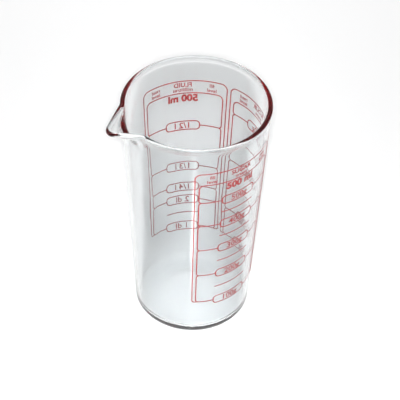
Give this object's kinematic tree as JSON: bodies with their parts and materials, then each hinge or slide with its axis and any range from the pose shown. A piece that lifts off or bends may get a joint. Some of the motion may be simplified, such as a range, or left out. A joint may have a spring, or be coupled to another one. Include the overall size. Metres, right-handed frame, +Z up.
{
  "type": "measuring beaker",
  "caption": "Tall tapered clear glass beaker with a beaded rim, a pulled pouring lip and red enamel measuring scales for liquid, sugar and flour.",
  "frame": {"origin": "centre of the foot ring, on the plane that the beaker stands on", "axes": "+Z up along the wall's own axis, -X towards the pouring lip"},
  "size_m": [0.1069, 0.0946, 0.168],
  "materials": {
    "glass": "clear polished borosilicate glass",
    "enamel": "red vitreous enamel print, satin gloss",
    "enamel_bold": "red vitreous enamel print, solid, satin gloss"
  },
  "bodies": {
    "root": {"glass_body": "glass", "liquid_border": "enamel", "liquid_lines": "enamel", "liquid_pills": "enamel", "liquid_ticks": "enamel", "liquid_numerals": "enamel", "liquid_heading": "enamel", "sugar_border": "enamel", "sugar_lines": "enamel", "sugar_pills": "enamel", "sugar_ticks": "enamel", "sugar_numerals": "enamel", "sugar_heading": "enamel", "flour_border": "enamel", "flour_lines": "enamel", "flour_pills": "enamel", "flour_ticks": "enamel", "flour_numerals": "enamel", "flour_heading": "enamel", "capacity_marks": "enamel_bold"}
  },
  "joints": []
}
